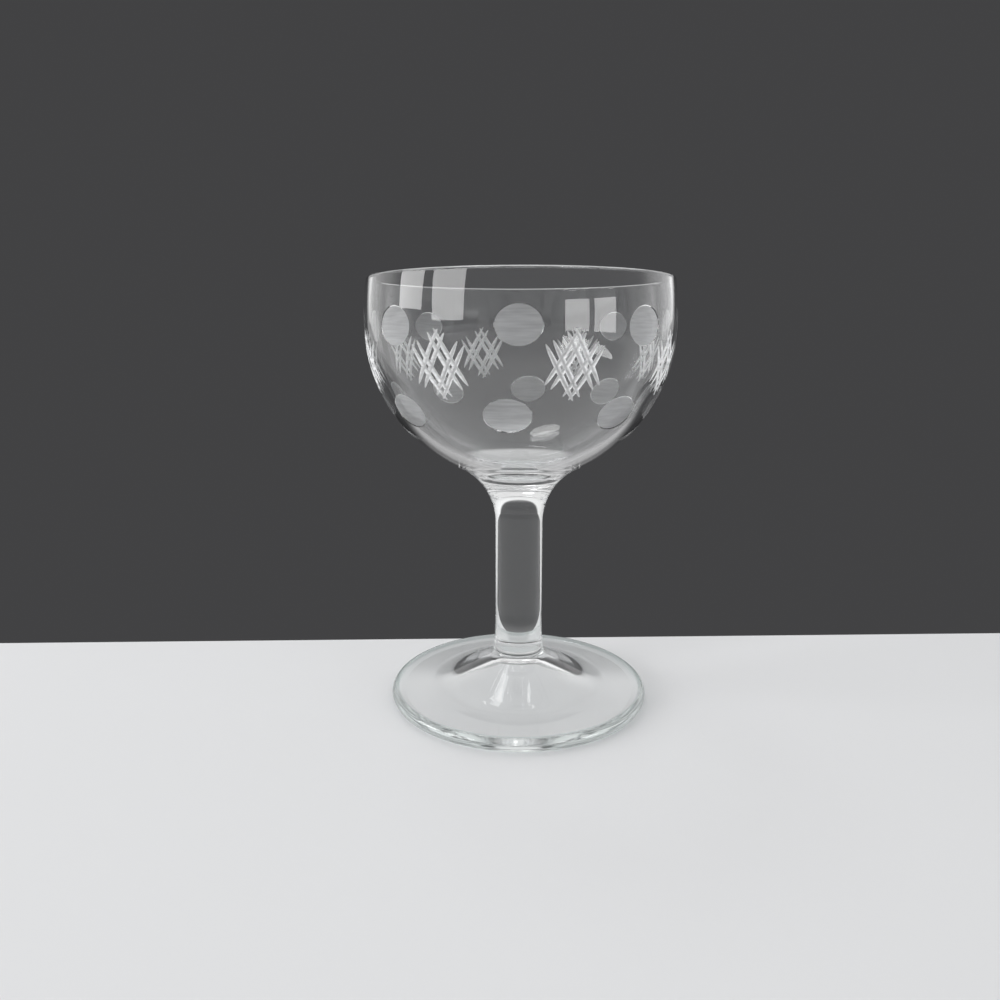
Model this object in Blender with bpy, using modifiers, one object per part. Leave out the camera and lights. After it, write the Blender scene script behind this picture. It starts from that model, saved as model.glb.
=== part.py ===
"""Stemmed liqueur glass: a blown bowl with a ground pattern, a drawn stem and a hollow foot, fused end to end.

Metres, +Z up. The origin is the centre of the face that the glass stands on, and its front faces -Y. Angles
round the glass are in degrees from the front and grow towards +X.
"""

import math

import bmesh
import bpy
from mathutils import Matrix, Vector

# Overall sizes
HEIGHT = 0.0900
FUSE_GAP = 0.0003

# Bowl: a half sphere outside, with a short wall above its widest line that draws in to the rim
BOWL_RADIUS = 0.0317
RIM_DROP = 0.0095
RIM_DRAW = 0.0006
RIM_WALL = 0.0012
BASE_WALL = 0.0021

# Stem: a solid rod that flares into the bowl and swells a little above the foot
STEM_RADIUS = 0.0051
FLARE_RADIUS = 0.0135
NECK_FLARE = 0.0011
BASE_SWELL = 0.0004
SWELL_HEIGHT = 0.0085
BASE_ROUND = 0.0003

# Foot: a flange with a rounded edge, a cone that rises from it at the knee, a collar swept up to the stem, and
# a hollow underneath that keeps the cone of one thickness
FOOT_RADIUS = 0.0282
FOOT_EDGE = 0.0030
FOOT_RISE = 0.0102
FLANGE_RISE = 0.0006
KNEE_RADIUS = 0.0176
KNEE_ROUND = 0.0018
COLLAR_WIDTH = 0.0014
COLLAR_DROP = 0.0014
RING_WIDTH = 0.0015
CONE_WALL = 0.0036
HOLLOW_ROUND = 0.0090

# Ground pattern: each row has its first cut's angle and its drop below the widest line
CUT_COUNT = 8
UPPER_TURN = -0.4
UPPER_DROP = 0.0002
UPPER_WIDTH = 0.0082
UPPER_TALL = 0.0069
LOWER_TURN = -4.5
LOWER_DROP = 0.0159
LOWER_WIDTH = 0.0087
LOWER_TALL = 0.0070
DIAMOND_TURN = -27.2
DIAMOND_DROP = 0.0070

# Facets sink a step below the glass at their sides, and their bevel opens by a share of their width
FACET_STEP = 0.0001
FACET_FLARE = 1.25

# Diamonds are two crossing sets of straight V cuts, spaced in steps of the pitch from the diamond's middle. The
# second set is sunk a trace deeper than the first
STROKE_SLANT = 60.0
STROKE_LENGTH = 0.0113
STROKE_PITCH = 0.0014
STROKE_PLACES = (-2, -1, 1, 2)
STROKE_BAR = 0.6
STROKE_OVERRUN = 1.16
SECOND_SINK = 0.00004

# How far a facet's cutter stands out of the glass
CUTTER_SPARE = 0.0008

# Fineness of the surfaces
TURN_STEPS = 64
ARC_STEP_DEGREES = 7.0
EDGE_STEP_DEGREES = 30.0
WALL_STEPS = 3
SWELL_STEPS = 4
FACET_SIDES = 24

# Glass: faintly green in the thick foot
IOR = 1.5
BOWL_TINT = (0.96, 0.98, 0.98)
STEM_TINT = (0.95, 0.98, 0.97)
FOOT_TINT = (0.93, 0.97, 0.95)
POLISH = 0.02

# Heights and radii that follow from the sizes above
EQUATOR_Z = HEIGHT - RIM_DROP
FLARE_CENTRE_R = STEM_RADIUS + FLARE_RADIUS
FLARE_CENTRE_Z = EQUATOR_Z - math.sqrt((BOWL_RADIUS + FLARE_RADIUS) ** 2 - FLARE_CENTRE_R**2)
NECK_Z = FLARE_CENTRE_Z + math.sqrt(FLARE_RADIUS**2 - (FLARE_RADIUS - NECK_FLARE) ** 2)
STEM_FOOT_Z = FOOT_RISE + FUSE_GAP
STEM_TOP_Z = NECK_Z - FUSE_GAP
STEM_BASE_RADIUS = STEM_RADIUS + BASE_SWELL


def clear_scene():
    for obj in list(bpy.data.objects):
        bpy.data.objects.remove(obj)


def arc(centre, radius, start, end, step=ARC_STEP_DEGREES):
    """Points (r, z) on a circle from angle start to angle end, in degrees, both ends included."""
    count = max(2, math.ceil(abs(end - start) / step))
    angles = [math.radians(start + (end - start) * i / count) for i in range(count + 1)]
    return [(centre[0] + radius * math.cos(a), centre[1] + radius * math.sin(a)) for a in angles]


def drawn_wall(radius, low, high):
    """Wall points from low to high, upright at low and drawn in by RIM_DRAW at high."""
    shares = [i / WALL_STEPS for i in range(WALL_STEPS + 1)]
    return [(radius - RIM_DRAW * t**2, low + (high - low) * t) for t in shares]


def bowl_profile():
    """From the inside bottom up to the rim, over it, and down the outside to the flat seat for the stem."""
    inner_radius = BOWL_RADIUS - RIM_WALL
    inner_z = EQUATOR_Z + BASE_WALL - RIM_WALL
    rim_round = RIM_WALL / 2
    rim_centre = (BOWL_RADIUS - RIM_DRAW - rim_round, HEIGHT - rim_round)
    flare_angle = math.degrees(math.acos(FLARE_CENTRE_R / (BOWL_RADIUS + FLARE_RADIUS)))
    neck_angle = math.degrees(math.acos(1 - NECK_FLARE / FLARE_RADIUS))
    inside = arc((0, inner_z), inner_radius, -90, 0) + drawn_wall(inner_radius, inner_z, rim_centre[1])[1:]
    rim = arc(rim_centre, rim_round, 180, 0, EDGE_STEP_DEGREES)[1:-1]
    wall = drawn_wall(BOWL_RADIUS, EQUATOR_Z, rim_centre[1])[::-1]
    round_side = arc((0, EQUATOR_Z), BOWL_RADIUS, 0, -flare_angle)[1:]
    flare = arc((FLARE_CENTRE_R, FLARE_CENTRE_Z), FLARE_RADIUS, 180 - flare_angle, 180 - neck_angle)[1:]
    return inside + rim + wall + round_side + flare + [(0, NECK_Z)]


def stem_profile():
    """From the top seat down the flare and the rod to the rounded lower end."""
    top_angle = math.degrees(math.asin((STEM_TOP_Z - FLARE_CENTRE_Z) / FLARE_RADIUS))
    flare = arc((FLARE_CENTRE_R, FLARE_CENTRE_Z), FLARE_RADIUS, 180 - top_angle, 180)
    base_top = STEM_FOOT_Z + BASE_ROUND
    swell = []
    for i in range(SWELL_STEPS):
        share = i / SWELL_STEPS
        swell.append((STEM_RADIUS + BASE_SWELL * share**2, base_top + SWELL_HEIGHT * (1 - share)))
    base_round = arc((STEM_BASE_RADIUS - BASE_ROUND, base_top), BASE_ROUND, 0, -90, EDGE_STEP_DEGREES)
    return [(0, STEM_TOP_Z)] + flare + swell + base_round + [(0, STEM_FOOT_Z)]


def sweep(start, end, fall):
    """A hollow arc from start down to end, where the surface falls by the angle fall, in radians."""
    run = start[0] - end[0]
    rise = start[1] - end[1]
    radius = (run**2 + rise**2) / 2 / (run * math.sin(fall) + rise * math.cos(fall))
    centre = (end[0] + radius * math.sin(fall), end[1] + radius * math.cos(fall))
    angles = [math.degrees(math.atan2(z - centre[1], r - centre[0])) for r, z in (start, end)]
    return arc(centre, radius, *angles)


def knee(corner, cone_fall, flange_fall):
    """The rounded valley where the cone meets the flange."""
    r, z = corner
    inner = (r - KNEE_ROUND * math.cos(cone_fall), z + KNEE_ROUND * math.sin(cone_fall))
    outer = (r + KNEE_ROUND * math.cos(flange_fall), z - KNEE_ROUND * math.sin(flange_fall))
    return sweep(inner, outer, flange_fall)


def foot_profile():
    """From the seat for the stem down the collar and the cone, over the flange and its edge, and in underneath."""
    edge_round = FOOT_EDGE / 2
    edge_r = FOOT_RADIUS - edge_round
    cone_top = (STEM_BASE_RADIUS + COLLAR_WIDTH, FOOT_RISE - COLLAR_DROP)
    knee_z = FOOT_EDGE + FLANGE_RISE
    cone = math.atan2(cone_top[1] - knee_z, KNEE_RADIUS - cone_top[0])
    flange = math.atan2(FLANGE_RISE, edge_r - KNEE_RADIUS)
    collar = sweep((STEM_BASE_RADIUS, FOOT_RISE), cone_top, cone)
    top = knee((KNEE_RADIUS, knee_z), cone, flange)
    edge = arc((edge_r, edge_round), edge_round, 90, -90, EDGE_STEP_DEGREES)
    ring = edge_r - RING_WIDTH
    under_axis = knee_z + KNEE_RADIUS * math.tan(cone) - CONE_WALL / math.cos(cone)
    under_r = (under_axis - ring * math.tan(flange)) / (math.tan(cone) - math.tan(flange))
    under = knee((under_r, (ring - under_r) * math.tan(flange)), cone, flange)[::-1]
    crown_z = under_axis - HOLLOW_ROUND / math.cos(cone)
    crown = arc((0, crown_z), HOLLOW_ROUND, 90 - math.degrees(cone), 90)[:-1]
    return [(0, FOOT_RISE)] + collar + top + edge + [(ring, 0)] + under + crown + [(0, crown_z + HOLLOW_ROUND)]


def glass(name, tint):
    material = bpy.data.materials.new(name)
    material.use_nodes = True
    shader = material.node_tree.nodes["Principled BSDF"]
    shader.inputs["Base Color"].default_value = (*tint, 1)
    shader.inputs["Metallic"].default_value = 0
    shader.inputs["Roughness"].default_value = POLISH
    shader.inputs["IOR"].default_value = IOR
    shader.inputs["Transmission Weight"].default_value = 1
    return material


def turned(name, profile, seat_z, material, collection):
    """A solid of revolution about Z, with its origin at the height seat_z on the axis."""
    points = [(r, 0, z - seat_z) for r, z in profile]
    mesh = bpy.data.meshes.new(name)
    mesh.from_pydata(points, [(i, i + 1) for i in range(len(points) - 1)], [])
    mesh.materials.append(material)
    obj = bpy.data.objects.new(name, mesh)
    obj.location.z = seat_z
    collection.objects.link(obj)
    screw = obj.modifiers.new("turn", "SCREW")
    screw.axis = "Z"
    screw.steps = TURN_STEPS
    screw.render_steps = TURN_STEPS
    screw.use_merge_vertices = True
    screw.merge_threshold = 1e-5
    screw.use_smooth_shade = True
    return obj


def row(first_turn):
    """The angles of one row's cuts."""
    return [first_turn + 360 / CUT_COUNT * i for i in range(CUT_COUNT)]


def bowl_frame(angle, drop):
    """A point on the bowl's outside, with axes that run round the bowl, up it and straight out of the glass."""
    turn = math.radians(angle)
    lift = -math.asin(drop / BOWL_RADIUS)
    level = Vector((math.sin(turn), -math.cos(turn), 0))
    across = Vector((math.cos(turn), math.sin(turn), 0))
    out = level * math.cos(lift) + Vector((0, 0, math.sin(lift)))
    up = out.cross(across)
    axes = Matrix((across, up, out)).transposed().to_4x4()
    return Matrix.Translation(Vector((0, 0, EQUATOR_Z)) + out * BOWL_RADIUS) @ axes


def add_facet(build, angle, drop, width, tall):
    """Adds an oval cone whose flat end grinds one facet."""
    depth = width**2 / 8 / BOWL_RADIUS + FACET_STEP
    seat = Matrix.Translation((0, 0, (CUTTER_SPARE - depth) / 2)) @ Matrix.Diagonal((width, tall, 1, 1))
    bmesh.ops.create_cone(
        build,
        cap_ends=True,
        segments=FACET_SIDES,
        radius1=0.5,
        radius2=0.5 * FACET_FLARE,
        depth=depth + CUTTER_SPARE,
        matrix=bowl_frame(angle, drop) @ seat,
    )


def add_stroke(build, angle, slant, place, sink):
    """Adds a square bar that lies with one edge along the chord of a straight cut, or sunk below it."""
    centre = Vector((0, 0, EQUATOR_Z))
    tangent = bowl_frame(angle, DIAMOND_DROP)
    lean = math.radians(slant)
    side_step = place * STROKE_PITCH
    ends = []
    for way in (-STROKE_LENGTH / 2, STROKE_LENGTH / 2):
        u = way * math.cos(lean) - side_step * math.sin(lean)
        v = way * math.sin(lean) + side_step * math.cos(lean)
        spoke = tangent @ Vector((u, v, 0)) - centre
        ends.append(centre + spoke.normalized() * BOWL_RADIUS)
    chord = ends[1] - ends[0]
    middle = (ends[0] + ends[1]) / 2
    line = chord.normalized()
    out = (middle - centre).normalized()
    axes = Matrix((line, out.cross(line), out)).transposed().to_4x4()
    bar = STROKE_PITCH * STROKE_BAR
    lift = out * (bar / math.sqrt(2) - sink)
    seat = Matrix.Translation(middle + lift) @ axes @ Matrix.Rotation(math.pi / 4, 4, "X")
    size = Matrix.Diagonal((chord.length * STROKE_OVERRUN, bar, bar, 1))
    bmesh.ops.create_cube(build, size=1, matrix=seat @ size)


def cutter(name, build, collection):
    mesh = bpy.data.meshes.new(name)
    build.to_mesh(mesh)
    build.free()
    obj = bpy.data.objects.new(name, mesh)
    obj.hide_render = True
    obj.display_type = "WIRE"
    collection.objects.link(obj)
    return obj


def facet_cutter(collection):
    build = bmesh.new()
    for angle in row(UPPER_TURN):
        add_facet(build, angle, UPPER_DROP, UPPER_WIDTH, UPPER_TALL)
    for angle in row(LOWER_TURN):
        add_facet(build, angle, LOWER_DROP, LOWER_WIDTH, LOWER_TALL)
    return cutter("facets", build, collection)


def stroke_cutter(name, slant, sink, collection):
    build = bmesh.new()
    for angle in row(DIAMOND_TURN):
        for place in STROKE_PLACES:
            add_stroke(build, angle, slant, place, sink)
    return cutter(name, build, collection)


def grind(obj, tool):
    boolean = obj.modifiers.new(tool.name, "BOOLEAN")
    boolean.operation = "DIFFERENCE"
    boolean.solver = "EXACT"
    boolean.object = tool


def main():
    clear_scene()
    parts = bpy.data.collections.new("liqueur_glass")
    cutters = bpy.data.collections.new("cutters")
    for collection in (parts, cutters):
        bpy.context.scene.collection.children.link(collection)
    turned("foot", foot_profile(), 0, glass("foot_glass", FOOT_TINT), parts)
    turned("stem", stem_profile(), STEM_FOOT_Z, glass("stem_glass", STEM_TINT), parts)
    bowl = turned("bowl", bowl_profile(), NECK_Z, glass("bowl_glass", BOWL_TINT), parts)
    grind(bowl, facet_cutter(cutters))
    grind(bowl, stroke_cutter("rising_strokes", STROKE_SLANT, 0, cutters))
    grind(bowl, stroke_cutter("falling_strokes", 180 - STROKE_SLANT, SECOND_SINK, cutters))


main()
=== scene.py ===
"""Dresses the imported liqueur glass: clear glass, with ground dots and hatched diamonds cut into its bowl.

Metres, +Z up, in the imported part's own frame. Angles round the glass are in degrees from its front, which
faces -Y, and grow towards +X.
"""

import math

import bmesh
import bpy
from mathutils import Matrix, Vector
from mathutils.kdtree import KDTree


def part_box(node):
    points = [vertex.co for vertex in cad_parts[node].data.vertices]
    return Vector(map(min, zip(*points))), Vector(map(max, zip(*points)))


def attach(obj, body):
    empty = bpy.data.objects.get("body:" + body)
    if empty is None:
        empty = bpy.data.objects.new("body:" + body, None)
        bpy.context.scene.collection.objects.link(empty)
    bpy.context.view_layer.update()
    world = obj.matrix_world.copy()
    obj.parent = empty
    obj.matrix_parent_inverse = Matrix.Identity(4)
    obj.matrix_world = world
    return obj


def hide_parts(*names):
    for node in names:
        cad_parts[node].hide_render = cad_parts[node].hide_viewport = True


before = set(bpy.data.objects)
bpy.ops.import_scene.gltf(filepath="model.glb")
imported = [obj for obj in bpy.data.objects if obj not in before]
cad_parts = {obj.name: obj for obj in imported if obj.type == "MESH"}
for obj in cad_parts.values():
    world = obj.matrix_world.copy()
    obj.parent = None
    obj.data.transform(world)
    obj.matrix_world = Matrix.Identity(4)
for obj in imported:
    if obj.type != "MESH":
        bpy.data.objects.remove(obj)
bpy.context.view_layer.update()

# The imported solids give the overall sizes
BOWL_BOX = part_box("bowl")
FOOT_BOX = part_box("foot")
HEIGHT = BOWL_BOX[1][2]
NECK_Z = BOWL_BOX[0][2]
FOOT_RADIUS = FOOT_BOX[1][0]
FOOT_RISE = FOOT_BOX[1][2]

# Bowl: a half sphere outside, a short wall above its widest line, and an inside that thins to the rim
BOWL_RADIUS = 0.0317
RIM_DROP = 0.0095
RIM_DRAW = 0.0006
RIM_WALL = 0.0012
BASE_WALL = 0.0021
EQUATOR_Z = HEIGHT - RIM_DROP
WALL_RISE = RIM_DROP - RIM_WALL / 2

# Stem: a rod that flares up into the bowl and swells a little at its base
STEM_RADIUS = 0.0051
FLARE_RADIUS = 0.0135
BASE_SWELL = 0.0004
SWELL_HEIGHT = 0.0085
BASE_ROUND = 0.0003

# The flare's arc: its centre, and its angles where it leaves the bowl and where bowl and stem are fused
FLARE_R = STEM_RADIUS + FLARE_RADIUS
FLARE_ANGLE = math.degrees(math.acos(FLARE_R / (BOWL_RADIUS + FLARE_RADIUS)))
FLARE_Z = EQUATOR_Z - (BOWL_RADIUS + FLARE_RADIUS) * math.sin(math.radians(FLARE_ANGLE))
NECK_ANGLE = math.degrees(math.asin((NECK_Z - FLARE_Z) / FLARE_RADIUS))

# Foot: a flange with a rounded edge, a cone that rises from it at the knee, and a collar round the stem
FOOT_EDGE = 0.0030
FLANGE_RISE = 0.0006
KNEE_RADIUS = 0.0176
KNEE_ROUND = 0.0018
UNDER_ROUND = 0.0040
COLLAR_WIDTH = 0.0014
COLLAR_DROP = 0.0014
RING_WIDTH = 0.0015
CONE_WALL = 0.0036
HOLLOW_ROUND = 0.0090

# The three rows of cuts: angle of the first cut, and drop below the widest line
CUT_COUNT = 8
UPPER_ROW = (-0.4, 0.0002)
LOWER_ROW = (-4.5, 0.0159)
DIAMOND_ROW = (-27.2, 0.0070)

# Ground dots: half width and half height, the wheel that ground them, and the small bevel round each
UPPER_DOT = (0.0041, 0.00345)
LOWER_DOT = (0.00435, 0.0035)
DOT_WHEEL_RADIUS = 0.200
DOT_STEP = 0.00010
DOT_BEVEL = 0.00020
DOT_LID = 0.0012

# Hatched diamonds: two crossing families of straight cuts, the second sunk a trace deeper
STROKE_SLANT = 60.0
STROKE_LENGTH = 0.0113
STROKE_PITCH = 0.0014
STROKE_PLACES = (-2, -1, 1, 2)
SECOND_SINK = 0.00004

# A stroke's section as half widths and heights, its flank sides on each hand, and its share of spare length
STROKE_SECTION = ((0.00010, 0.0), (0.00023, 0.00010), (0.00036, 0.00026), (0.00055, 0.00062))
FLANK_SIDES = 2
STROKE_SPARE = 0.08

# Fineness of the visible surfaces: counts, and steps in degrees
TURN_STEPS = 240
FOOT_TURN_STEPS = 720
ARC_STEP = 3.0
EDGE_STEP = 9.0
WALL_STEPS = 6
SWELL_STEPS = 16
DOT_RINGS = 6
DOT_SPOKES = 64
NORMAL_FINENESS = 20
SHARP_ANGLE = 30.0

# Points nearer than this to the axis lie on it, and points that agree to this many digits are one
ON_AXIS = 1e-7
MERGE_DIGITS = 8

# Material slots of the turned pieces
CLEAR_SLOT = 0
FUSED_SLOT = 1
EDGE_SLOT = 2

# Clear glass: tints, faint waves from hand work, and smears that take a trace off the polish
GLASS_IOR = 1.5
BOWL_TINT = (0.99, 0.995, 0.995)
STEM_TINT = (0.985, 0.995, 0.99)
FOOT_TINT = (0.990, 0.996, 0.995)
FOOT_EDGE_TINT = (0.80, 0.855, 0.845)
WAVE_HEIGHT = 0.000006
FOOT_WAVE_HEIGHT = 0.000001
WAVE_SCALE = 90
WAVE_DETAIL = 1
SMEAR_SCALE = 180
SMEAR_DETAIL = 4
SMEAR_RANGE = (0.45, 0.75)
POLISH = (0.0, 0.012)
EDGE_POLISH = (0.12, 0.24)

# Ground glass: tint, and how much of it is clear, for the dots, the strokes' floors and their flanks
DOT_GLASS = ((0.93, 0.94, 0.95), 0.82)
FLOOR_GLASS = ((0.955, 0.96, 0.965), 0.60)
FLANK_GLASS = ((0.985, 0.99, 0.995), 0.10)

# Wheel lines on ground glass: fine upright and long sideways, in shade, roughness and relief
LINE_STRETCH = (200, 200, 2200)
LINE_SCALE = 1
LINE_DETAIL = 3
LINE_RANGE = (0.3, 0.7)
LINE_SHADE = 0.72
LINE_ROUGHNESS = (0.32, 0.56)
LINE_BUMP = 0.3
LINE_HEIGHT = 0.00005

# The photograph's camera, fitted to the glass's outline: pixels, metres, degrees, and sensor millimetres
FRAME_PIXELS = 1000
FOCAL_PIXELS = 775.5
CAMERA_DISTANCE = 0.1638
CAMERA_HEIGHT = 0.0779
CAMERA_PITCH = 11.69
CAMERA_YAW = 1.44
CAMERA_NEAR = 0.001
SENSOR_WIDTH = 36

# Stage: a table top whose back edge runs just behind the foot, and the hair of air under the foot
TABLE_BACK = 0.0313
TABLE_TURN = 2.96
TABLE_SIZE = (1.6, 1.2, 0.02)
TABLE_COLOUR = (0.725, 0.73, 0.74)
TABLE_ROUGHNESS = 0.9
TABLE_GLOSS = 0.2
FOOT_AIR = 0.00004

# Surroundings: each edge is the range of a look direction's part in which one colour gives way to the next
BACKDROP = (0.055, 0.055, 0.057)
BACKDROP_SPREAD = 1.0
BACKDROP_TAPER = 0.3
BACKDROP_SIDES = (0.77, 0.83)
BACKDROP_TOP = (0.60, 0.25)
BACKDROP_FOOT = (-0.50, -0.38)
BACKDROP_SEEN = (0.05, 0.75)
GROUND_SHADE = 0.5
ROOM = (0.40, 0.40, 0.41)
SIDE_LEFT = (0.86, 0.86, 0.86)
SIDE_RIGHT = (1.00, 1.00, 1.01)
SIDE_SWEEP = (-1, 1)
SIDE_EDGE = (0.05, 0.35)
CEILING = (0.80, 0.80, 0.80)
CEILING_EDGE = (0.35, 0.60)

# Lamps: place, size and brightness
LEFT_WINDOW = ((-0.927, -0.762, 0.350), (0.525, 0.455), 7.0)
SIDE_WINDOW = ((-1.188, -0.168, 0.385), (0.465, 0.385), 7.0)
RIGHT_WINDOW = ((1.040, -0.600, 0.140), (0.36, 0.27), 6.5)
NEAR_WINDOW = ((0.755, -0.930, 0.140), (0.36, 0.27), 6.5)
TOP_LIGHT = ((-0.22, 0.36, 1.00), (0.26, 0.26), 3.2)

# How often light may bounce in all, pass through glass, mirror, and go straight through a fused face
ALL_BOUNCES = 32
GLASS_BOUNCES = 24
MIRROR_BOUNCES = 16
FUSED_PASSES = 32

# A mix node's sockets for two colours and for the colour that comes out
MIX_COLOURS = (6, 7)
MIX_RESULT = 2


def arc(centre, radius, start, end, step=ARC_STEP, side=1):
    """Points (r, z) with normals (r, z) on a circle, in degrees. side is -1 where glass is outside it."""
    count = max(2, math.ceil(abs(end - start) / step))
    run = []
    for i in range(count + 1):
        a = math.radians(start + (end - start) * i / count)
        run.append((centre[0] + radius * math.cos(a), centre[1] + radius * math.sin(a),
                    side * math.cos(a), side * math.sin(a)))
    return run


def drawn_wall(radius, low, high, side, steps):
    """The wall above the widest line, upright at low and drawn in by RIM_DRAW at high."""
    run = []
    for i in range(steps + 1):
        t = i / steps
        lean = 2 * RIM_DRAW * t / (high - low)
        size = math.hypot(1, lean)
        run.append((radius - RIM_DRAW * t**2, low + (high - low) * t, side / size, side * lean / size))
    return run


def flat(r0, r1, z, up):
    """A level face from radius r0 to r1."""
    return [(r0, z, 0, up), (r1, z, 0, up)]


def bowl_runs(fineness=1):
    """The bowl's profile, up its inside, over the rim and down its outside, and the fused face below."""
    step = ARC_STEP / fineness
    wall_steps = WALL_STEPS * fineness
    inner_radius = BOWL_RADIUS - RIM_WALL
    inner_z = EQUATOR_Z + BASE_WALL - RIM_WALL
    rim_round = RIM_WALL / 2
    rim = (BOWL_RADIUS - RIM_DRAW - rim_round, HEIGHT - rim_round)
    flare = (FLARE_R, FLARE_Z)
    clear = arc((0, inner_z), inner_radius, -90, 0, step, side=-1)
    clear += drawn_wall(inner_radius, inner_z, rim[1], -1, wall_steps)[1:]
    clear += arc(rim, rim_round, 180, 0, EDGE_STEP)[1:-1]
    clear += drawn_wall(BOWL_RADIUS, EQUATOR_Z, rim[1], 1, wall_steps)[::-1]
    clear += arc((0, EQUATOR_Z), BOWL_RADIUS, 0, -FLARE_ANGLE, step)[1:]
    clear += arc(flare, FLARE_RADIUS, 180 - FLARE_ANGLE, 180 - NECK_ANGLE, step, side=-1)[1:]
    return [(clear, CLEAR_SLOT), (flat(clear[-1][0], 0, NECK_Z, -1), FUSED_SLOT)]


def stem_runs():
    """The stem's profile from the bowl down to the foot, with a fused face at each end."""
    base_top = FOOT_RISE + BASE_ROUND
    side = arc((FLARE_R, FLARE_Z), FLARE_RADIUS, 180 - NECK_ANGLE, 180, side=-1)
    for i in range(SWELL_STEPS + 1):
        t = i / SWELL_STEPS
        lean = 2 * BASE_SWELL * t / SWELL_HEIGHT
        size = math.hypot(1, lean)
        z = base_top + SWELL_HEIGHT * (1 - t)
        side.append((STEM_RADIUS + BASE_SWELL * t**2, z, 1 / size, lean / size))
    base = STEM_RADIUS + BASE_SWELL - BASE_ROUND
    heel = arc((base, base_top), BASE_ROUND, 0, -90, EDGE_STEP)
    top = flat(0, side[0][0], NECK_Z, 1)
    bottom = flat(base, 0, FOOT_RISE, -1)
    return [(top, FUSED_SLOT), (side, CLEAR_SLOT), (heel, CLEAR_SLOT), (bottom, FUSED_SLOT)]


def sweep(start, end, fall, side):
    """A hollow arc from start down to end, where the surface falls by the angle fall, in radians."""
    run = start[0] - end[0]
    rise = start[1] - end[1]
    radius = (run**2 + rise**2) / 2 / (run * math.sin(fall) + rise * math.cos(fall))
    centre = (end[0] + radius * math.sin(fall), end[1] + radius * math.cos(fall))
    angles = [math.degrees(math.atan2(z - centre[1], r - centre[0])) for r, z in (start, end)]
    return arc(centre, radius, *angles, side=side)


def knee(corner, size, cone_fall, flange_fall, side):
    """The rounded valley where the cone meets the flange."""
    r, z = corner
    inner = (r - size * math.cos(cone_fall), z + size * math.sin(cone_fall))
    outer = (r + size * math.cos(flange_fall), z - size * math.sin(flange_fall))
    return sweep(inner, outer, flange_fall, side)


def foot_runs():
    """The foot's profile from the stem out and back under it. Its hollow follows flange and cone."""
    edge_round = FOOT_EDGE / 2
    edge = arc((FOOT_RADIUS - edge_round, edge_round), edge_round, 90, -90, EDGE_STEP)
    stem_base = STEM_RADIUS + BASE_SWELL
    seat = stem_base - BASE_ROUND
    shoulder = flat(seat, stem_base, FOOT_RISE, 1)
    cone_top = (stem_base + COLLAR_WIDTH, FOOT_RISE - COLLAR_DROP)
    knee_z = FOOT_EDGE + FLANGE_RISE
    cone = math.atan2(cone_top[1] - knee_z, KNEE_RADIUS - cone_top[0])
    flange = math.atan2(FLANGE_RISE, edge[0][0] - KNEE_RADIUS)
    top = sweep((stem_base, FOOT_RISE), cone_top, cone, -1)
    top += knee((KNEE_RADIUS, knee_z), KNEE_ROUND, cone, flange, -1)
    top.append((edge[0][0], FOOT_EDGE, math.sin(flange), math.cos(flange)))
    ring = edge[-1][0] - RING_WIDTH
    under_axis = knee_z + KNEE_RADIUS * math.tan(cone) - CONE_WALL / math.cos(cone)
    under_r = (under_axis - ring * math.tan(flange)) / (math.tan(cone) - math.tan(flange))
    under_corner = (under_r, (ring - under_r) * math.tan(flange))
    under_knee = knee(under_corner, UNDER_ROUND, cone, flange, 1)[::-1]
    under_top = under_axis - HOLLOW_ROUND / math.cos(cone)
    crown = arc((0, under_top), HOLLOW_ROUND, 90 - math.degrees(cone), 90, side=-1)
    under = [(ring, 0, -math.sin(flange), -math.cos(flange))] + under_knee + crown
    stem_face = flat(0, seat, FOOT_RISE, 1)
    standing_ring = flat(edge[-1][0], ring, 0, -1)
    return [(stem_face, FUSED_SLOT), (shoulder, CLEAR_SLOT), (top, CLEAR_SLOT), (edge, EDGE_SLOT),
            (standing_ring, CLEAR_SLOT), (under, CLEAR_SLOT)]


def new_object(name, data):
    """An object in the scene that shows data."""
    obj = bpy.data.objects.new(name, data)
    bpy.context.scene.collection.objects.link(obj)
    return obj


def turned(name, runs, materials, steps=TURN_STEPS):
    """A closed solid of revolution from runs of (r, z, normal r, normal z), with its exact normals."""
    verts, faces, slots, normals = [], [], [], []
    turns = [2 * math.pi * k / steps for k in range(steps)]
    around = [(math.cos(a), math.sin(a)) for a in turns]
    rings = {}

    def ring(r, z):
        key = (round(r, MERGE_DIGITS), round(z, MERGE_DIGITS))
        if key not in rings:
            start = len(verts)
            spots = around if r > ON_AXIS else around[:1]
            verts.extend((r * c, r * s, z) for c, s in spots)
            rings[key] = [start + k % len(spots) for k in range(steps)]
        return rings[key]

    for run, slot in runs:
        for a, b in zip(run, run[1:]):
            ring_a = ring(a[0], a[1])
            ring_b = ring(b[0], b[1])
            facing = (b[0] - a[0]) * (a[3] + b[3]) - (b[1] - a[1]) * (a[2] + b[2])
            for k in range(steps):
                n = (k + 1) % steps
                corners = [(ring_a[k], a, k), (ring_b[k], b, k), (ring_b[n], b, n), (ring_a[n], a, n)]
                if facing < 0:
                    corners.reverse()
                kept = []
                for corner in corners:
                    if corner[0] not in [c[0] for c in kept]:
                        kept.append(corner)
                faces.append([c[0] for c in kept])
                slots.append(slot)
                normals += [(p[2] * around[m][0], p[2] * around[m][1], p[3]) for _, p, m in kept]
    mesh = bpy.data.meshes.new(name)
    mesh.from_pydata(verts, [], faces)
    for material in materials:
        mesh.materials.append(material)
    mesh.polygons.foreach_set("material_index", slots)
    mesh.shade_smooth()
    mesh.normals_split_custom_set(normals)
    return new_object(name, mesh)


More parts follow.
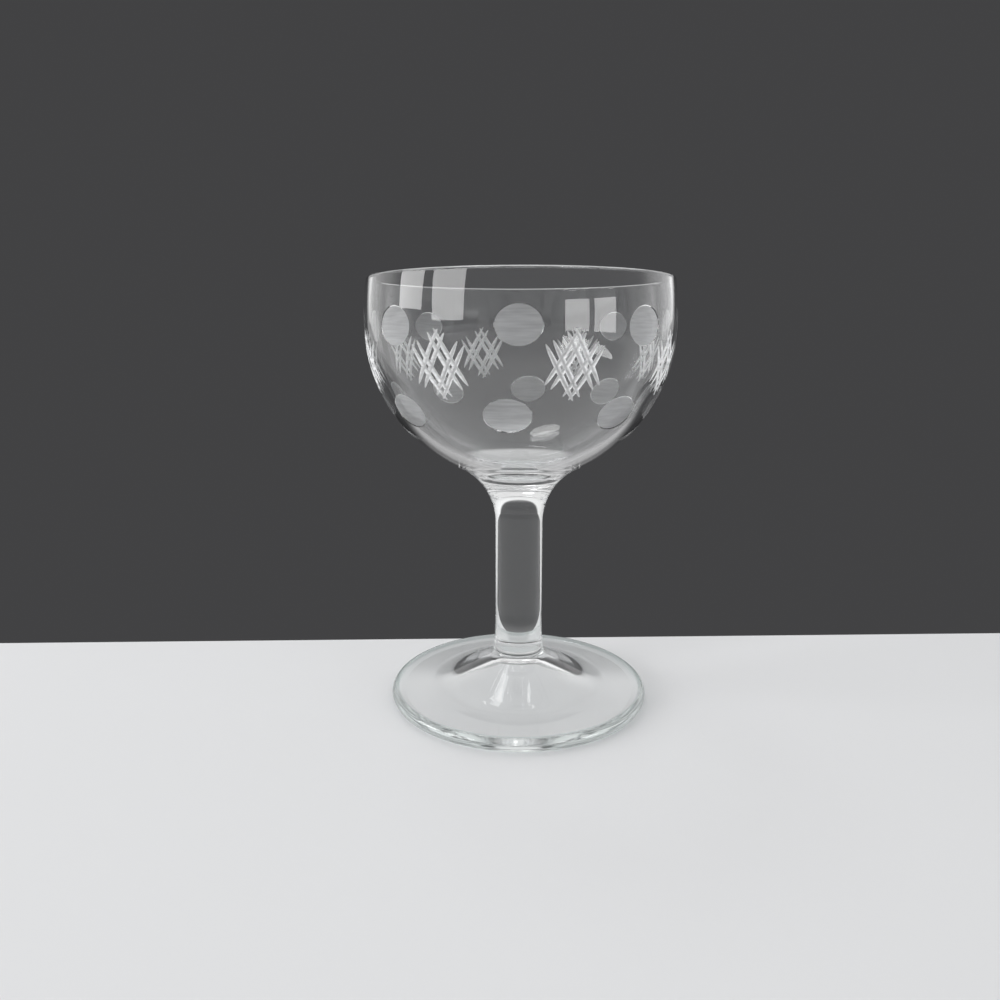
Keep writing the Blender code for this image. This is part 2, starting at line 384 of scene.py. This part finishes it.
def bowl_point(angle, climb):
    """A point on the bowl's outside, climb along its outline above the widest line, and its local frame.

    The frame's columns run round the bowl, up its outline and straight out of the glass.
    """
    if climb < 0:
        lift = climb / BOWL_RADIUS
        r = BOWL_RADIUS * math.cos(lift)
        z = EQUATOR_Z + BOWL_RADIUS * math.sin(lift)
    else:
        lift = math.atan(2 * RIM_DRAW * climb / WALL_RISE**2)
        r = BOWL_RADIUS - RIM_DRAW * (climb / WALL_RISE) ** 2
        z = EQUATOR_Z + climb
    a = math.radians(angle)
    out_level = Vector((math.sin(a), -math.cos(a), 0))
    across = Vector((math.cos(a), math.sin(a), 0))
    out = out_level * math.cos(lift) + Vector((0, 0, math.sin(lift)))
    up = out.cross(across)
    return out_level * r + Vector((0, 0, z)), Matrix((across, up, out)).transposed()


def arc_height(z):
    """How far along the outline a height on the bowl lies from the widest line."""
    if z < EQUATOR_Z:
        return BOWL_RADIUS * math.asin((z - EQUATOR_Z) / BOWL_RADIUS)
    return z - EQUATOR_Z


def outline_bend(z):
    """How sharply the bowl's outline curves at a height."""
    return 1 / BOWL_RADIUS if z < EQUATOR_Z else 2 * RIM_DRAW / WALL_RISE**2


def row_places(row):
    """The angle and the height of each cut in a row."""
    first, drop = row
    return [(first + 360 / CUT_COUNT * i, EQUATOR_Z - drop) for i in range(CUT_COUNT)]


def dot_cutter(angle, z, half_width, half_height):
    """A ground facet: the grinding wheel is nearly flat sideways and just round enough upright.

    Gives the cutter's points, its faces, and which of these cut the bevel round the facet.
    """
    depth = half_width**2 / 2 * (1 / BOWL_RADIUS + 1 / DOT_WHEEL_RADIUS)
    spread = DOT_LID * DOT_BEVEL / DOT_STEP
    centre, axes = bowl_point(angle, arc_height(z))
    turns = [2 * math.pi * k / DOT_SPOKES for k in range(DOT_SPOKES)]
    points = [(0, 0, -depth - DOT_STEP)]
    for i in range(1, DOT_RINGS + 1):
        s = i / DOT_RINGS
        for a in turns:
            u = s * half_width * math.cos(a)
            v = s * half_height * math.sin(a)
            wheel_bend = 2 * depth / half_height**2 - outline_bend(z + v)
            w = u * u / 2 / DOT_WHEEL_RADIUS + v * v / 2 * wheel_bend - depth - DOT_STEP
            points.append((u, v, w))
    for a in turns:
        u, v, w = points[-DOT_SPOKES]
        points.append((u + math.cos(a) * spread, v + math.sin(a) * spread, w + DOT_LID))
    faces = [(0, 1 + (k + 1) % DOT_SPOKES, 1 + k) for k in range(DOT_SPOKES)]
    for i in range(DOT_RINGS):
        low = 1 + i * DOT_SPOKES
        high = low + DOT_SPOKES
        for k in range(DOT_SPOKES):
            n = (k + 1) % DOT_SPOKES
            faces.append((low + k, low + n, high + n, high + k))
    faces.append(tuple(range(len(points) - DOT_SPOKES, len(points))))
    rim_start = len(points) - 2 * DOT_SPOKES
    bevel = [min(face) >= rim_start for face in faces]
    return [centre + axes @ Vector(p) for p in points], faces, bevel


def stroke_cutter(angle, z, slant, place, sink):
    """One straight cut of a diamond: a round-nosed bar along the chord between the cut's two ends.

    Gives the cutter's points, its faces, and which of these cut the flanks beside the floor.
    """
    middle = arc_height(z)
    radius = bowl_point(0, middle)[0].xy.length
    a = math.radians(slant)
    along = Vector((math.cos(a), math.sin(a)))
    across = Vector((-math.sin(a), math.cos(a)))

    def on_bowl(spot):
        return bowl_point(angle + math.degrees(spot.x / radius), middle + spot.y)

    centre = across * place * STROKE_PITCH
    start, end = (on_bowl(centre + along * way * STROKE_LENGTH / 2)[0] for way in (-1, 1))
    line = (end - start).normalized()
    side = on_bowl(centre)[1].col[2].cross(line).normalized()
    out = line.cross(side)
    half = [(b, w - sink) for b, w in STROKE_SECTION]
    section = [(-b, w) for b, w in reversed(half)] + half
    count = len(section)
    spare = line * STROKE_LENGTH * STROKE_SPARE
    points = [start - spare + side * b + out * w for b, w in section]
    points += [end + spare + side * b + out * w for b, w in section]
    faces = [tuple(range(count - 1, -1, -1)), tuple(range(count, 2 * count))]
    faces += [(k, (k + 1) % count, count + (k + 1) % count, count + k) for k in range(count)]
    last = count - 2
    flank = [k < FLANK_SIDES or last - FLANK_SIDES < k <= last for k in range(count)]
    return points, faces, [False, False] + flank


def cutter_object(name, cutters, floor, flank):
    """One object that holds many closed cutters which don't meet."""
    verts, faces, flanks = [], [], []
    for points, sides, sides_flank in cutters:
        start = len(verts)
        verts += [tuple(p) for p in points]
        faces += [tuple(start + i for i in side) for side in sides]
        flanks += sides_flank
    mesh = bpy.data.meshes.new(name)
    mesh.from_pydata(verts, [], faces)
    mesh.materials.append(floor)
    mesh.materials.append(flank)
    mesh.polygons.foreach_set("material_index", [int(is_flank) for is_flank in flanks])
    build = bmesh.new()
    build.from_mesh(mesh)
    bmesh.ops.recalc_face_normals(build, faces=build.faces)
    build.to_mesh(mesh)
    build.free()
    return new_object(name, mesh)


def cut(obj, groups):
    """Takes each group of cutters out of obj, with one glass for the floors and one for the flanks."""
    tools = []
    for name, cutters, floor, flank in groups:
        tool = cutter_object(name, cutters, floor, flank)
        tools.append(tool)
        boolean = obj.modifiers.new(name, "BOOLEAN")
        boolean.operation = "DIFFERENCE"
        boolean.solver = "MANIFOLD"
        boolean.material_mode = "TRANSFER"
        boolean.object = tool
    graph = bpy.context.evaluated_depsgraph_get()
    mesh = bpy.data.meshes.new_from_object(obj.evaluated_get(graph))
    obj.modifiers.clear()
    obj.data = mesh
    for tool in tools:
        bpy.data.objects.remove(tool)


def set_cut_normals(obj, run):
    """The outline's exact normals where the glass is clear, and smooth ones with sharp edges in cuts."""
    mesh = obj.data
    build = bmesh.new()
    build.from_mesh(mesh)
    for edge in build.edges:
        slots = {face.material_index for face in edge.link_faces}
        edge.smooth = len(slots) == 1 and edge.calc_face_angle(0) < math.radians(SHARP_ANGLE)
    for face in build.faces:
        face.smooth = True
    build.to_mesh(mesh)
    build.free()
    outline = KDTree(len(run))
    for i, (r, z, _, _) in enumerate(run):
        outline.insert((r, z, 0), i)
    outline.balance()
    normals = [Vector(n.vector) for n in mesh.corner_normals]
    for face in mesh.polygons:
        if face.material_index != CLEAR_SLOT:
            continue
        for loop in face.loop_indices:
            x, y, z = mesh.vertices[mesh.loops[loop].vertex_index].co
            r = math.hypot(x, y)
            _, i, _ = outline.find((r, z, 0))
            level, upright = run[i][2:]
            spin = (x / r, y / r) if r > ON_AXIS else (0, 0)
            normals[loop] = Vector((level * spin[0], level * spin[1], upright))
    mesh.normals_split_custom_set([tuple(n) for n in normals])


def fill(tree, node, inputs):
    """Sets a shader node's inputs by name: another node's output is linked, a plain value is written."""
    for name, value in inputs.items():
        if isinstance(value, bpy.types.NodeSocket):
            tree.links.new(value, node.inputs[name])
        else:
            node.inputs[name].default_value = value
    return node


def add(tree, kind, inputs):
    """A new shader node with its inputs set."""
    return fill(tree, tree.nodes.new(kind), inputs)


def new_material(name):
    """A new material, its node tree and its shader."""
    material = bpy.data.materials.new(name)
    material.use_nodes = True
    return material, material.node_tree, material.node_tree.nodes["Principled BSDF"]


def clear_glass(name, tint, wave_height=WAVE_HEIGHT, polish_range=POLISH):
    """Clear glass with the faint waviness of hand work and a trace of handling on its polish."""
    material, tree, shader = new_material(name)
    place = add(tree, "ShaderNodeTexCoord", {}).outputs["Object"]
    smear = add(tree, "ShaderNodeTexNoise", {"Vector": place, "Scale": SMEAR_SCALE, "Detail": SMEAR_DETAIL})
    polish = add(tree, "ShaderNodeMapRange", {
        "Value": smear.outputs["Fac"],
        "From Min": SMEAR_RANGE[0],
        "From Max": SMEAR_RANGE[1],
        "To Min": polish_range[0],
        "To Max": polish_range[1],
    })
    waves = add(tree, "ShaderNodeTexNoise", {"Vector": place, "Scale": WAVE_SCALE, "Detail": WAVE_DETAIL})
    bump = add(tree, "ShaderNodeBump", {"Height": waves.outputs["Fac"], "Distance": wave_height})
    fill(tree, shader, {
        "Base Color": (*tint, 1),
        "Transmission Weight": 1,
        "IOR": GLASS_IOR,
        "Roughness": polish.outputs["Result"],
        "Normal": bump.outputs["Normal"],
    })
    return material


def satin_glass(name, tint, clearness):
    """Ground glass: pale and rough, with fine level lines from the wheel."""
    material, tree, shader = new_material(name)
    place = add(tree, "ShaderNodeTexCoord", {}).outputs["Object"]
    stretch = add(tree, "ShaderNodeMapping", {"Vector": place, "Scale": LINE_STRETCH})
    noise = add(tree, "ShaderNodeTexNoise", {
        "Vector": stretch.outputs["Vector"],
        "Scale": LINE_SCALE,
        "Detail": LINE_DETAIL,
    })
    lines = noise.outputs["Fac"]
    shade = add(tree, "ShaderNodeValToRGB", {"Fac": lines})
    for element, position, light in zip(shade.color_ramp.elements, LINE_RANGE, (LINE_SHADE, 1)):
        element.position = position
        element.color = (*(light * part for part in tint), 1)
    grind = add(tree, "ShaderNodeMapRange", {
        "Value": lines,
        "To Min": LINE_ROUGHNESS[0],
        "To Max": LINE_ROUGHNESS[1],
    })
    bump = add(tree, "ShaderNodeBump", {"Height": lines, "Strength": LINE_BUMP, "Distance": LINE_HEIGHT})
    fill(tree, shader, {
        "Base Color": shade.outputs["Color"],
        "Transmission Weight": clearness,
        "IOR": GLASS_IOR,
        "Roughness": grind.outputs["Result"],
        "Normal": bump.outputs["Normal"],
    })
    return material


def fused_glass(name):
    """The hidden faces where two pieces are fused: glass against glass, so light passes straight on."""
    material, tree, shader = new_material(name)
    fill(tree, shader, {"Alpha": 0})
    return material


def dress_glass():
    """The bowl with its cuts, the stem and the foot, each in place of its CAD node."""
    fused = fused_glass("fused_joint")
    dot_floor = satin_glass("ground_glass", *DOT_GLASS)
    stroke_floor = satin_glass("mitre_floor_glass", *FLOOR_GLASS)
    stroke_flank = satin_glass("mitre_glass", *FLANK_GLASS)
    bowl = turned("glass_bowl", bowl_runs(), [clear_glass("bowl_glass_clear", BOWL_TINT), fused])
    dots = [dot_cutter(*place, *UPPER_DOT) for place in row_places(UPPER_ROW)]
    dots += [dot_cutter(*place, *LOWER_DOT) for place in row_places(LOWER_ROW)]
    groups = [("dots", dots, dot_floor, clear_glass("bevel_clear", BOWL_TINT))]
    for name, slant, sink in (("rising", STROKE_SLANT, 0), ("falling", 180 - STROKE_SLANT, SECOND_SINK)):
        strokes = [stroke_cutter(*spot, slant, place, sink)
                   for spot in row_places(DIAMOND_ROW) for place in STROKE_PLACES]
        groups.append((name, strokes, stroke_floor, stroke_flank))
    cut(bowl, groups)
    set_cut_normals(bowl, bowl_runs(NORMAL_FINENESS)[0][0])
    stem = turned("glass_stem", stem_runs(), [clear_glass("stem_glass_clear", STEM_TINT), fused])
    foot_clear = clear_glass("foot_glass_clear", FOOT_TINT, FOOT_WAVE_HEIGHT)
    foot_edge = clear_glass("foot_edge_clear", FOOT_EDGE_TINT, FOOT_WAVE_HEIGHT, EDGE_POLISH)
    foot = turned("glass_foot", foot_runs(), [foot_clear, fused, foot_edge], FOOT_TURN_STEPS)
    for piece, node in ((bowl, "bowl"), (stem, "stem"), (foot, "foot")):
        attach(piece, "root")
        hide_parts(node)


def build_table():
    """A pale table top whose back edge runs just behind the foot, as in the photograph."""
    _, depth, thick = TABLE_SIZE
    mesh = bpy.data.meshes.new("table")
    build = bmesh.new()
    bmesh.ops.create_cube(build, size=1)
    bmesh.ops.scale(build, vec=TABLE_SIZE, verts=build.verts)
    build.to_mesh(mesh)
    build.free()
    table = new_object("table", mesh)
    to_back = Matrix.Translation((0, TABLE_BACK, 0))
    turn = Matrix.Rotation(math.radians(TABLE_TURN), 4, "Z")
    under_foot = Matrix.Translation((0, -depth / 2, -thick / 2 - FOOT_AIR))
    table.matrix_world = to_back @ turn @ under_foot
    material, tree, shader = new_material("table_top")
    fill(tree, shader, {
        "Base Color": (*TABLE_COLOUR, 1),
        "Roughness": TABLE_ROUGHNESS,
        "Specular IOR Level": TABLE_GLOSS,
    })
    mesh.materials.append(material)


def light_world():
    """A dim room with a light ceiling, and a dark backdrop between light sides, as the glass shows them.

    The picture's own background is the backdrop, which fades into the room's grey towards the front.
    """
    world = bpy.data.worlds.new("studio")
    bpy.context.scene.world = world
    world.use_nodes = True
    tree = world.node_tree
    way = add(tree, "ShaderNodeTexCoord", {}).outputs["Generated"]
    split = add(tree, "ShaderNodeSeparateXYZ", {"Vector": way})
    right, back, up = (split.outputs[axis] for axis in "XYZ")

    def maths(operation, *values):
        node = tree.nodes.new("ShaderNodeMath")
        node.operation = operation
        for socket, value in zip(node.inputs, values):
            if isinstance(value, bpy.types.NodeSocket):
                tree.links.new(value, socket)
            else:
                socket.default_value = value
        return node.outputs["Value"]

    def share(value, edge, least=0):
        node = tree.nodes.new("ShaderNodeMapRange")
        node.interpolation_type = "SMOOTHSTEP"
        fill(tree, node, {"Value": value, "From Min": edge[0], "From Max": edge[1], "To Min": least})
        return node.outputs["Result"]

    def blend(part, *colours):
        node = tree.nodes.new("ShaderNodeMix")
        node.data_type = "RGBA"
        tree.links.new(part, node.inputs["Factor"])
        for index, colour in zip(MIX_COLOURS, colours):
            if isinstance(colour, bpy.types.NodeSocket):
                tree.links.new(colour, node.inputs[index])
            else:
                node.inputs[index].default_value = (*colour, 1)
        return node.outputs[MIX_RESULT]

    sides = blend(share(right, SIDE_SWEEP), SIDE_LEFT, SIDE_RIGHT)
    room = blend(share(back, SIDE_EDGE), ROOM, sides)
    room = blend(share(up, CEILING_EDGE), room, CEILING)
    wide = maths("MULTIPLY_ADD", maths("MINIMUM", up, 0), -BACKDROP_SPREAD, back)
    wide = maths("MULTIPLY_ADD", maths("MAXIMUM", up, 0), -BACKDROP_TAPER, wide)
    dark = maths("MULTIPLY", share(wide, BACKDROP_SIDES), share(up, BACKDROP_TOP))
    dark = maths("MULTIPLY", dark, share(up, BACKDROP_FOOT, GROUND_SHADE))
    lit = blend(dark, room, BACKDROP)
    seen = blend(share(back, BACKDROP_SEEN), ROOM, BACKDROP)
    ray = add(tree, "ShaderNodeLightPath", {})
    colour = blend(ray.outputs["Is Camera Ray"], lit, seen)
    fill(tree, tree.nodes["Background"], {"Color": colour})


def softbox(name, shape, place, size, brightness):
    """A lamp that faces the middle of the glass and stays out of the picture.

    A rectangle of brightness 1 is as bright as a white card.
    """
    lamp = bpy.data.lights.new(name, "AREA")
    lamp.shape = shape
    lamp.size, lamp.size_y = size
    lamp.energy = brightness * math.pi * size[0] * size[1]
    obj = new_object(name, lamp)
    obj.location = place
    aim = Vector((0, 0, HEIGHT / 2)) - obj.location
    obj.rotation_euler = aim.to_track_quat("-Z", "Y").to_euler()
    obj.visible_camera = False
    return obj


def place_lamps():
    """Windows that the glass mirrors but doesn't show through itself, and a light overhead."""
    windows = {
        "left_window": LEFT_WINDOW,
        "side_window": SIDE_WINDOW,
        "right_window": RIGHT_WINDOW,
        "near_window": NEAR_WINDOW,
    }
    for name, window in windows.items():
        softbox(name, "RECTANGLE", *window).visible_transmission = False
    softbox("top_light", "ELLIPSE", *TOP_LIGHT)


def place_camera():
    """The photograph's camera, in front of the glass and a little below its rim."""
    camera = bpy.data.cameras.new("camera")
    camera.sensor_width = SENSOR_WIDTH
    camera.lens = SENSOR_WIDTH * FOCAL_PIXELS / FRAME_PIXELS
    camera.clip_start = CAMERA_NEAR
    obj = new_object("camera", camera)
    obj.location = (0, -CAMERA_DISTANCE, CAMERA_HEIGHT)
    yaw = Matrix.Rotation(math.radians(CAMERA_YAW), 3, "Z")
    pitch = Matrix.Rotation(math.radians(90 - CAMERA_PITCH), 3, "X")
    obj.rotation_euler = (yaw @ pitch).to_euler()
    bpy.context.scene.camera = obj


def trace_glass():
    """Lets light pass all the glass walls in a row, and keeps it sharp under the foot."""
    cycles = bpy.context.scene.cycles
    cycles.max_bounces = ALL_BOUNCES
    cycles.transmission_bounces = GLASS_BOUNCES
    cycles.glossy_bounces = MIRROR_BOUNCES
    cycles.transparent_max_bounces = FUSED_PASSES
    cycles.blur_glossy = 0


dress_glass()
build_table()
light_world()
place_lamps()
place_camera()
trace_glass()
bpy.context.scene.view_settings.view_transform = "Standard"
